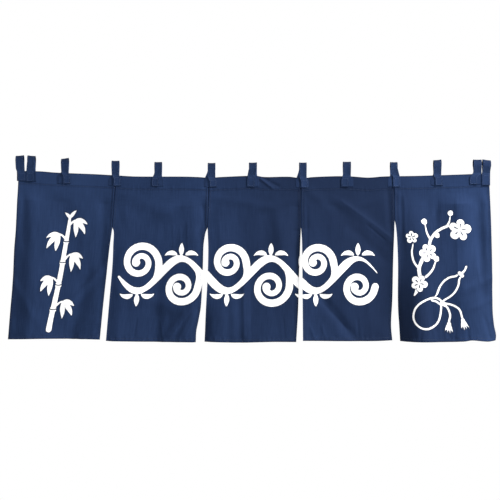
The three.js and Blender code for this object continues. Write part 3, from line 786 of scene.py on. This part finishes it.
def print_field(x, z):
    """How far each point of the flat cloth lies outside the white print, below 0 inside it."""
    field = np.full(x.shape, FAR_OUTSIDE)

    def draw(strokes):
        for line in strokes:
            np.minimum(field, stroke_field(line, x, z), out=field)

    def clear(strokes):
        for line in strokes:
            np.maximum(field, -stroke_field(line, x, z), out=field)

    draw(vine())
    draw(bamboo())
    clear(bamboo_joint_lines())
    draw([smooth_line(branch) for branch in PLUM_BRANCHES])
    for row in PLUM_FLOWERS:
        petals, cleared = flower(row)
        clear([petal + (0, 0, PETAL_GAP) for petal in petals])
        draw(petals)
        clear(cleared)
    draw([np.array([(bud.x, bud.z, bud.radius), (bud.x + 1, bud.z + 2, 0.8 * bud.radius)])
          for bud in PLUM_BUDS])
    np.minimum(field, gourd_outline(x, z), out=field)
    clear([np.array(CORD_LEFT_OPEN), np.array(GOURD_STOPPER) + (0, 0, PETAL_GAP)])
    lines = (GOURD_STOPPER, GOURD_STALK, GOURD_KNOT, *GOURD_CORD, *GOURD_TAILS)
    draw([smooth_line(line) for line in lines])
    for row in TASSELS:
        draw(tassel(row))
    return field


def linear(hex_colour):
    """A colour for a shader from sRGB hex digits."""
    parts = [int(hex_colour[i:i + 2], 16) / 255 for i in (1, 3, 5)]
    return [p / 12.92 if p <= 0.04045 else ((p + 0.055) / 1.055) ** 2.4 for p in parts] + [1.0]


def add(tree, kind, inputs=None, **settings):
    """Adds a shader node with its settings, and sets or links its inputs by name or number."""
    node = tree.nodes.new("ShaderNode" + kind)
    for name, value in settings.items():
        setattr(node, name, value)
    for name, value in (inputs or {}).items():
        if isinstance(value, bpy.types.NodeSocket):
            tree.links.new(value, node.inputs[name])
        else:
            node.inputs[name].default_value = value
    return node


def empty_tree(owner):
    """The node tree of a new material or world, with nothing in it."""
    owner.use_nodes = True
    owner.node_tree.nodes.clear()
    return owner.node_tree


def math_of(tree, operation, a, b=0.0, c=0.0, clamp=False):
    return add(tree, "Math", {0: a, 1: b, 2: c}, operation=operation, use_clamp=clamp).outputs[0]


def mix_of(tree, share, a, b):
    return add(tree, "Mix", {0: share, 6: a, 7: b}, data_type="RGBA").outputs[2]


# Real sizes of the cotton, in millimetres. Its threads are 0.5 apart, too fine to show here, so they are
# drawn three times as coarse.
THREAD_SPACING = 1.5
SLUB_WIDTH = 2.6
SLUB_LENGTH = 70
DYE_PATCH = 110

NAVY = "#1B2D4E"
NAVY_DEEP = "#142543"
# A paler navy for the uneven threads and for painted light, and a darker one for painted shade and the rim
# round the print
NAVY_WORN_AND_LIT = "#2C4066"
NAVY_SHADED = "#0E1B33"
PRINT_WHITE = "#FCFCFD"
PRINT_BEHIND = "#B9C3D6"

# The dye stands deeper round the print, where the paste stopped, and the print's edge is a little soft.
PRINT_RIM = 5.0
RIM_SHADE = 0.7
PRINT_SOFT = 0.7

# How much of the unevenness is in the warp, and the painted shade beside a row of stitches
WARP_SHARE = 0.76
STITCH_SHADE = 0.4
STITCH_SHADE_FALL = -0.3
EULER = 2.718


def streaks(tree, place, across, along, seed):
    """Faint thick threads: noise drawn out along one direction of the cloth."""
    stretched = add(tree, "Mapping", {"Vector": place, "Scale": (1 / across, 1 / along, 1),
                                      "Location": (seed, seed, 0)})
    noise = add(tree, "TexNoise", {"Vector": stretched.outputs[0], "Scale": 1.0, "Detail": 3.0,
                                   "Roughness": 0.6}, noise_dimensions="2D")
    return noise.outputs["Fac"]


def cotton(name, printed):
    """Plain-woven cotton sheeting, piece-dyed navy: matt, a faint fuzz at the rim, uneven threads both ways
    and a dye that took a little more or less, with painted shade beside the stitches, painted light and
    shade, and a painted highlight by the seams. The print is discharged white."""
    material = bpy.data.materials.new(name)
    tree = empty_tree(material)
    place = add(tree, "Attribute", attribute_name="cloth_place").outputs["Vector"]
    sewn = add(tree, "Attribute", attribute_name="sewn").outputs["Fac"]

    warp = streaks(tree, place, SLUB_WIDTH, SLUB_LENGTH, 3.7)
    weft = streaks(tree, place, SLUB_LENGTH, SLUB_WIDTH, 8.1)
    patches = streaks(tree, place, DYE_PATCH, 1.6 * DYE_PATCH, 5.3)
    uneven = math_of(tree, "MULTIPLY_ADD", warp, WARP_SHARE, math_of(tree, "MULTIPLY", weft, 1 - WARP_SHARE))
    patchy = math_of(tree, "SUBTRACT", patches, 0.5)
    patchy = math_of(tree, "MULTIPLY_ADD", patchy, 2.2, 0.5, clamp=True)
    dye = mix_of(tree, patchy, linear(NAVY_DEEP), linear(NAVY))
    lightened = math_of(tree, "MULTIPLY_ADD", math_of(tree, "SUBTRACT", uneven, 0.5), 1.0, 0.12, clamp=True)
    dye = mix_of(tree, lightened, dye, linear(NAVY_WORN_AND_LIT))
    # Painted shade beside the rows of stitches
    fall = math_of(tree, "MULTIPLY", math_of(tree, "MULTIPLY", sewn, sewn), STITCH_SHADE_FALL)
    in_stitches = math_of(tree, "POWER", EULER, fall)
    dye = mix_of(tree, math_of(tree, "MULTIPLY", in_stitches, STITCH_SHADE), dye, linear(NAVY_SHADED))
    # Painted light where this mark is above 0, and painted shade where it is below 0
    painted_shading = add(tree, "Attribute", attribute_name="painted_shading").outputs["Fac"]
    dye = mix_of(tree, math_of(tree, "MAXIMUM", painted_shading, 0.0), dye, linear(NAVY_WORN_AND_LIT))
    painted_shade_share = math_of(tree, "MAXIMUM", math_of(tree, "MULTIPLY", painted_shading, -1.0), 0.0)
    dye = mix_of(tree, painted_shade_share, dye, linear(NAVY_SHADED))

    if printed:
        edge = add(tree, "Attribute", attribute_name="print_edge").outputs["Fac"]
        behind = add(tree, "Attribute", attribute_name="back_side").outputs["Fac"]
        wobble = streaks(tree, place, 7, 7, 1.9)
        edge = math_of(tree, "ADD", edge, math_of(tree, "MULTIPLY_ADD", wobble, 1.6, -0.8))
        white = math_of(tree, "SUBTRACT", 0.5, math_of(tree, "DIVIDE", edge, PRINT_SOFT), clamp=True)
        rim = math_of(tree, "SUBTRACT", 1.0, math_of(tree, "DIVIDE", edge, PRINT_RIM), clamp=True)
        dye = mix_of(tree, math_of(tree, "MULTIPLY", rim, RIM_SHADE), dye, linear(NAVY_SHADED))
        ink = mix_of(tree, behind, linear(PRINT_WHITE), linear(PRINT_BEHIND))
        dye = mix_of(tree, white, dye, ink)

    turned = add(tree, "VectorMath", {0: place, "Scale": 2 * math.pi / THREAD_SPACING}, operation="SCALE")
    thread = add(tree, "SeparateXYZ", {0: turned.outputs[0]})
    weave = math_of(tree, "MULTIPLY", math_of(tree, "SINE", thread.outputs[0]),
                    math_of(tree, "SINE", thread.outputs[1]))
    height = math_of(tree, "MULTIPLY_ADD", weave, 0.16, uneven)
    bump = add(tree, "Bump", {"Strength": 0.5, "Distance": 0.35 * MM, "Height": height})
    shader = add(tree, "BsdfPrincipled", {
        "Base Color": dye, "Roughness": 0.85, "IOR": 1.5, "Specular IOR Level": 0.12,
        "Sheen Weight": 0.03, "Sheen Roughness": 0.5, "Sheen Tint": linear("#9FB2D8"),
        "Normal": bump.outputs[0]})
    add(tree, "OutputMaterial", {0: shader.outputs[0]})
    return material


def spun_thread(name, dark, light):
    """Spun polyester sewing thread: smoother than the cotton, so each stitch has a glint."""
    material = bpy.data.materials.new(name)
    tree = empty_tree(material)
    place = add(tree, "TexCoord").outputs["Object"]
    fuzz = add(tree, "TexNoise", {"Vector": place, "Scale": 1 / (0.8 * MM), "Detail": 2.0})
    colour = mix_of(tree, fuzz.outputs["Fac"], linear(dark), linear(light))
    bump = add(tree, "Bump", {"Strength": 0.3, "Distance": 0.1 * MM, "Height": fuzz.outputs["Fac"]})
    shader = add(tree, "BsdfPrincipled", {"Base Color": colour, "Roughness": 0.55, "IOR": 1.5,
                                          "Normal": bump.outputs[0]})
    add(tree, "OutputMaterial", {0: shader.outputs[0]})
    return material


PRINTED_COTTON = cotton("navy_cotton_sheeting_printed", printed=True)
PLAIN_COTTON = cotton("navy_cotton_strip", printed=False)
HEM_THREAD = spun_thread("navy_spun_polyester_thread", "#10203C", "#23365A")
STRIP_THREAD = spun_thread("blue_spun_polyester_thread", "#34496F", "#53688F")

# Stitches. The thread is 0.3 mm thick and too fine to show, so it is drawn twice as thick.
STITCH_PITCH = 4.2
STITCH_LENGTH = 3.3
THREAD_HALF = 0.32
STITCH_RISE = 0.25


def sew(name, lines, thread):
    """Stitches along lines, each line an array of points on the cloth and one of the directions out of it."""
    starts, runs, ups = [], [], []
    for points, outward in lines:
        steps = np.linalg.norm(np.diff(points, axis=0), axis=1)
        reach = np.concatenate([[0], np.cumsum(steps)])
        count = int(reach[-1] / STITCH_PITCH)
        if count < 1:
            continue
        first = (reach[-1] - count * STITCH_PITCH) / 2 + np.arange(count) * STITCH_PITCH
        a = np.stack([np.interp(first, reach, points[:, k]) for k in range(3)], 1)
        b = np.stack([np.interp(first + STITCH_LENGTH, reach, points[:, k]) for k in range(3)], 1)
        up = np.stack([np.interp(first + STITCH_LENGTH / 2, reach, outward[:, k]) for k in range(3)], 1)
        starts.append(a)
        runs.append(b - a)
        ups.append(unit(up))
    start, run, up = (np.concatenate(part) for part in (starts, runs, ups))
    side = unit(np.cross(run, up))
    rings = []
    for share, size, rise in ((0, 0.45, -0.2), (0.25, 0.95, 0.5), (0.75, 0.95, 0.5), (1, 0.45, -0.2)):
        middle = start + run * share + up * (STITCH_RISE * rise)
        half = THREAD_HALF * size
        rings.append(np.stack([middle + side * half, middle + up * half, middle - side * half,
                               middle - up * half], 1))
    points = np.stack(rings, 1)
    count = len(start)
    index = np.arange(count * 16).reshape(count, 4, 4)
    quads = []
    for ring in range(3):
        for corner in range(4):
            after = (corner + 1) % 4
            quads.append(np.stack([index[:, ring, corner], index[:, ring, after],
                                   index[:, ring + 1, after], index[:, ring + 1, corner]], 1))
    quads.append(index[:, 0, ::-1])
    quads.append(index[:, 3, :])
    piece = mesh_piece(name, points.reshape(-1, 3), np.concatenate(quads))
    piece.data.materials.append(thread)
    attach(piece, "root")
    return piece


def hang_cloth(piece, node, material, lines, thread):
    """Gives a sheet its cotton and stitches, and hides the solid that it replaces."""
    piece.data.materials.append(material)
    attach(piece, "root")
    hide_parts(node)
    stitches = sew(node + "_stitches", lines, thread)


# Painted shade along the folded edges of the cloth, and a painted highlight along the left edge of a width
# where it lies on its neighbour at the seam.
EDGE_PAINTED_SHADE = 0.8
SEAM_PAINTED_HIGHLIGHT = 0.9
EDGE_REACH = 5.0

# The drop that the rows of points are counted for, and the rounds in which a point's height and place agree
WHOLE_DROP = 590
HEIGHT_ROUNDS = 5


def make_width(number):
    """A width of cloth on its solid's folds, with its print and the stitches of its hems."""
    width = Width(number)
    middle_z = SEAM_TOP - HEADER_HEM
    columns = cloth_columns(float(width.right(middle_z) - width.left(middle_z)))
    rows = cloth_rows(SEAM_TOP - width.slit_line(width.left(middle_z)), WHOLE_DROP)
    share = np.broadcast_to(columns, (len(rows), len(columns)))
    z = np.full(share.shape, float(middle_z))
    for _ in range(HEIGHT_ROUNDS):
        x = width.left(z) * (1 - share) + width.right(z) * share
        z = (rows[:, :1] * header_edge(x) + rows[:, 1:2] * width.slit_line(x)
             + rows[:, 2:3] * width.lower_edge(x) + rows[:, 3:4])
    x, y = width.front(share, z)
    face = np.stack([x, y, z], 2)
    across = np.gradient(face, axis=1)
    down = np.gradient(face, axis=0)
    inward = unit(np.cross(across, -down))
    inward = np.where(inward[..., 1:2] < 0, -inward, inward)
    inward[:, [0, -1], 0] = 0
    inward = unit(inward)

    from_top, from_foot = header_edge(x) - z, z - width.lower_edge(x)
    from_left, from_right = x - width.left(z), width.right(z) - x
    to_edge = np.minimum.reduce([from_top, from_foot, from_left, from_right])
    in_hem = np.maximum.reduce([1 - ease((distance - hem) / HEM_STEP) for distance, hem in (
        (from_top, HEADER_HEM), (from_foot, BOTTOM_HEM), (from_left, SIDE_HEM), (from_right, SIDE_HEM))])
    thickness = CLOTH_THICKNESS + (HEM_THICKNESS - CLOTH_THICKNESS) * in_hem
    rounding = np.sqrt(1 - (1 - np.clip(to_edge / FOLDED_EDGE, 0, 1)) ** 2)
    filled = (thickness * (EDGE_LEFT_OPEN + (1 - EDGE_LEFT_OPEN) * rounding))[..., None]
    thickness = thickness[..., None]
    front = face + inward * (thickness - filled) / 2
    back = front + inward * filled

    piece = closed_sheet(width.row.name + "_cloth", front, back)
    flat_x = (share + number) * LOOM_WIDTH - 2.5 * LOOM_WIDTH
    field = print_field(flat_x.ravel(), z.ravel())
    mark(piece, "print_edge", np.tile(field, 2))
    mark(piece, "back_side", np.repeat([0, 1], field.size))
    place = np.stack([flat_x.ravel(), z.ravel(), np.zeros(field.size)], 1)
    mark(piece, "cloth_place", np.tile(place, (2, 1)))
    # Painted light and shade from the width's corners, painted shade along its folded edges and a painted
    # highlight along a left edge at a seam
    (top_left, top_right), (foot_left, foot_right) = width.row.painted_shading
    down_share = np.clip(from_top / LOOM_LENGTH, 0, 1)
    painted_shading = ((top_left * (1 - share) + top_right * share) * (1 - down_share)
              + (foot_left * (1 - share) + foot_right * share) * down_share)
    turned = np.minimum.reduce([from_top, from_foot, from_right] + [from_left] * (width.seam_left is None))
    painted_shading -= EDGE_PAINTED_SHADE * (1 - ease(turned / EDGE_REACH))
    if width.seam_left:
        painted_shading += SEAM_PAINTED_HIGHLIGHT * (1 - ease(from_left / EDGE_REACH)) * ease((from_top - HEADER_HEM) / HEADER_HEM)
    mark(piece, "painted_shading", np.tile(painted_shading.ravel(), 2))
    sewn = np.minimum.reduce([abs(from_top - HEADER_STITCH), abs(from_foot - BOTTOM_STITCH),
                              abs(from_left - SIDE_STITCH), abs(from_right - SIDE_STITCH)])
    mark(piece, "sewn", np.tile(sewn.ravel(), 2))

    def nearest(distances, wanted, axis):
        return int(np.argmin(abs(distances - wanted).mean(axis)))

    header_row = nearest(from_top, HEADER_STITCH, 1)
    bottom_row = nearest(from_foot, BOTTOM_STITCH, 1)
    left_column = nearest(from_left, SIDE_STITCH, 0)
    right_column = nearest(from_right, SIDE_STITCH, 0)
    lines = []
    for r in (header_row, bottom_row):
        inside = slice(left_column, right_column + 1)
        lines.append((front[r, inside], -inward[r, inside]))
    for c in (left_column, right_column):
        inside = slice(header_row, bottom_row + 1)
        lines.append((front[inside, c], -inward[inside, c]))
    hang_cloth(piece, width.row.name, PRINTED_COTTON, lines, HEM_THREAD)


# A loop's strip is folded three times and sewn near both edges: the rims stand up and a hollow lies between.
STRIP_ARC_STEPS = 30
STRIP_EDGE = 0.8
STRIP_STITCH = 4.2
STRIP_RIM = 0.6
STRIP_HOLLOW = 0.5
STRIP_PULL = 0.55
RELIEF_SHOWN = 0.8

# How far apart the strips lie on the uneven dye, so that no two look the same
STRIPS_APART = 400

# Painted shade at each loop's foot and top and painted light between them, and the loops that have painted
# light all over
LOOP_PAINTED_SHADING = (-0.15, 0.35, 0.3, -0.6, -1.0)
LOOP_PAINTED_LIGHT = 0.15
PAINTED_LIGHT_LOOPS = (10, 12, 13)


def strip_section(half):
    """Across a strip: each point's distance from the middle, its half thickness and its relief."""
    edge = [0, 0.25, 0.6, 1.2, 2, 3, 3.7, STRIP_STITCH, 4.8, 5.8]
    outer = [half - distance for distance in edge]
    inner = list(np.linspace(outer[-1], 0, 5)[1:])
    places = np.array(outer + inner)
    places = np.concatenate([places, -places[-2::-1]])
    away = half - abs(places)
    body = STRIP_THICKNESS / 2 * np.sqrt(1 - (1 - np.clip(away / STRIP_EDGE, 0, 1)) ** 2 * 0.94)
    rim = STRIP_RIM * np.exp(-(((away - 2) / 1.3) ** 2))
    pulled = STRIP_PULL * np.exp(-(((away - STRIP_STITCH) / 0.8) ** 2))
    relief = rim - pulled - STRIP_HOLLOW * ease((away - 6) / 5)
    return places, body, relief


def strip_path(loop, legs, header):
    """A loop's middle line in the Y-Z plane: y, z, and -1 going up, 0 over the rod, 1 going down."""
    centre_z = loop.top - ROD_SPACE_RADIUS - STRIP_THICKNESS
    radius = ROD_SPACE_RADIUS + STRIP_THICKNESS / 2
    meeting_z = header + MEETING_HEIGHT
    swing = math.acos(radius / math.hypot(LAYER / 2, meeting_z - centre_z))
    back_angle = math.atan2(meeting_z - centre_z, LAYER / 2) + swing
    angles = np.linspace(math.pi - back_angle, back_angle, STRIP_ARC_STEPS + 1)
    arc = [(radius * math.cos(a), centre_z + radius * math.sin(a)) for a in angles]
    legs_z = list(np.linspace(legs.end, header - LEG_STRAIGHT_BELOW, 8))
    legs_z += [header - below for below in (11, 8, 5.5, 3, 0)] + [meeting_z]
    front = [(-LAYER / 2, z) for z in legs_z]
    for share in np.linspace(0, 1, 6)[1:-1]:
        front.append((-LAYER / 2 * (1 - share) + arc[0][0] * share,
                      meeting_z * (1 - share) + arc[0][1] * share))
    back = [(-y, z) for y, z in front][::-1]
    path = np.array(front + arc + back)
    side = np.array([-1] * len(front) + [0] * len(arc) + [1] * len(back))
    return path[:, 0], path[:, 1], side


def make_loop(number):
    """A folded strip over the rod, with both legs sewn on the header."""
    loop, legs = LOOPS[number], LEGS[number]
    header = float(header_edge(loop.x))
    y, z, side = strip_path(loop, legs, header)
    half = loop.width / 2
    places, body, relief = strip_section(half)

    def middle_x(way, height):
        leg_x = {-1: legs.left + half, 1: legs.right - half}.get(-way * legs.over, loop.x)
        parts = {-1: legs.left_parts, 1: legs.right_parts}.get(-way * legs.over, 0)
        return loop.x + (leg_x - loop.x) * ease((header + parts - height) / (parts + LEG_STRAIGHT_BELOW))

    before, after = np.maximum(np.arange(len(z)) - 1, 0), np.minimum(np.arange(len(z)) + 1, len(z) - 1)
    out = unit(np.stack([z * 0, z[before] - z[after], y[after] - y[before]], 1))
    middle = np.array([middle_x(int(s), height) for s, height in zip(side, z)])
    parted = np.array([abs(middle_x(-1, h) - middle_x(1, h)) for h in z]) / loop.width
    lean = np.where(side < 0, LAYER * np.minimum(1, 2 * parted), 0)
    risen = ease((z - header) / (loop.top - header))
    share = places[None, :] / half
    x = middle[:, None] + places[None, :]
    over_other = (1 - legs.over * share) / 2
    at_y = y[:, None] + lean[:, None] * (LEAN_REACH * parted[:, None] - over_other)
    at_z = z[:, None] + share * loop.slant / 2 * risen[:, None]
    line = np.stack([x, at_y, at_z], 2)
    ends = np.minimum(np.arange(len(z)), np.arange(len(z))[::-1])
    end_taper = np.interp(ends, [0, 1], [0.5, 1])[:, None, None]
    thick = body[None, :, None] * end_taper
    raised = relief[None, :, None]
    outer = line + out[:, None] * (thick + RELIEF_SHOWN * raised)
    inner = line - out[:, None] * thick
    piece = closed_sheet(f"loop_{number + 1}_strip", outer, inner)
    steps = np.hypot(np.diff(y), np.diff(z))
    run = np.concatenate([[0], np.cumsum(steps)])
    place = np.stack(np.broadcast_arrays(places[None, :] + STRIPS_APART * number, run[:, None], 0.0 * x), 2)
    mark(piece, "cloth_place", np.tile(place.reshape(-1, 3), (2, 1)))
    # Painted shade at the foot and top of the loop, painted light between, and more painted light on some
    # loops
    painted_shading = np.interp(z, [header - 6, header + 6, loop.top - 22, loop.top - 12, loop.top], LOOP_PAINTED_SHADING)
    painted_shading = painted_shading + LOOP_PAINTED_LIGHT * (number + 1 in PAINTED_LIGHT_LOOPS)
    mark(piece, "painted_shading", np.tile(np.repeat(painted_shading, len(places)), 2))
    away = abs(half - abs(places) - STRIP_STITCH)
    mark(piece, "sewn", np.tile(np.broadcast_to(away, x.shape).ravel(), 2))

    outward = np.broadcast_to(out[:, None], outer.shape)
    lines = []
    for column in np.flatnonzero(away < 0.01):
        lines.append((outer[:, column], outward[:, column]))
    first, last = np.flatnonzero(away < 0.01)[[0, -1]]
    for row in (1, int(np.argmin(abs(z[side < 0] - header + 8)))):
        lines.append((outer[row, first:last + 1], outward[row, first:last + 1]))
    hang_cloth(piece, f"loop_{number + 1}", PLAIN_COTTON, lines, STRIP_THREAD)


for number in range(len(WIDTHS)):
    make_width(number)
for number in range(len(LOOPS)):
    make_loop(number)

# The view: straight on, from 6 m in front of the cloth, 1.797 m wide at the cloth
VIEW_CENTRE = Vector((-10.4, HEADER_FACE, -298.3)) * MM
VIEW_DISTANCE = 6.0
VIEW_WIDTH = 1.797
SENSOR = 36.0

camera = bpy.data.cameras.new("camera")
camera.sensor_width = SENSOR
camera.lens = SENSOR * VIEW_DISTANCE / VIEW_WIDTH
camera.clip_end = 100
viewer = in_scene("camera", camera)
viewer.location = VIEW_CENTRE + Vector((0, -VIEW_DISTANCE, 0))
viewer.rotation_euler = (math.radians(90), 0, 0)
bpy.context.scene.camera = viewer


def softbox(name, place, size, power):
    """A square studio light turned to the middle of the curtain."""
    lamp = bpy.data.lights.new(name, "AREA")
    lamp.shape = "SQUARE"
    lamp.size = size
    lamp.energy = power
    light = in_scene(name, lamp)
    light.location = place
    aim = VIEW_CENTRE - Vector(place)
    light.rotation_euler = aim.to_track_quat("-Z", "Y").to_euler()


softbox("softbox_left", (-1.9, -0.8, 1.3), 0.6, 22)
softbox("softbox_right", (2.4, -1.2, 1.9), 0.8, 225)
softbox("softbox_front", (0.9, -2.8, -1.1), 1.2, 34)
softbox("softbox_behind", (0, 2.6, 1.2), 1.2, 40)

# A white studio: what the camera sees past the curtain is white, and less of it lights the cloth.
SEEN_WHITE = 1.0
FILL = 0.16
world = bpy.data.worlds.new("studio")
tree = empty_tree(world)
seen = add(tree, "LightPath").outputs["Is Camera Ray"]
strength = math_of(tree, "MULTIPLY_ADD", seen, SEEN_WHITE - FILL, FILL)
studio = add(tree, "Background", {"Color": (1, 1, 1, 1), "Strength": strength})
add(tree, "OutputWorld", {0: studio.outputs[0]})
bpy.context.scene.world = world
bpy.context.scene.view_settings.view_transform = "Standard"

# A plain pale floor, as far down as a door's height below the rod
FLOOR_Z = -1.9
FLOOR_RADIUS = 4.0
turns = np.linspace(0, 2 * math.pi, 96, endpoint=False)
floor_mesh = bpy.data.meshes.new("floor")
rim = [(FLOOR_RADIUS * math.cos(t), FLOOR_RADIUS * math.sin(t), FLOOR_Z) for t in turns]
floor_mesh.from_pydata(rim, [], [list(range(len(turns)))])
floor = in_scene("floor", floor_mesh)
paint = bpy.data.materials.new("pale_floor_paint")
tree = empty_tree(paint)
matt = add(tree, "BsdfPrincipled", {"Base Color": linear("#E9E9E6"), "Roughness": 0.8})
add(tree, "OutputMaterial", {0: matt.outputs[0]})
floor_mesh.materials.append(paint)
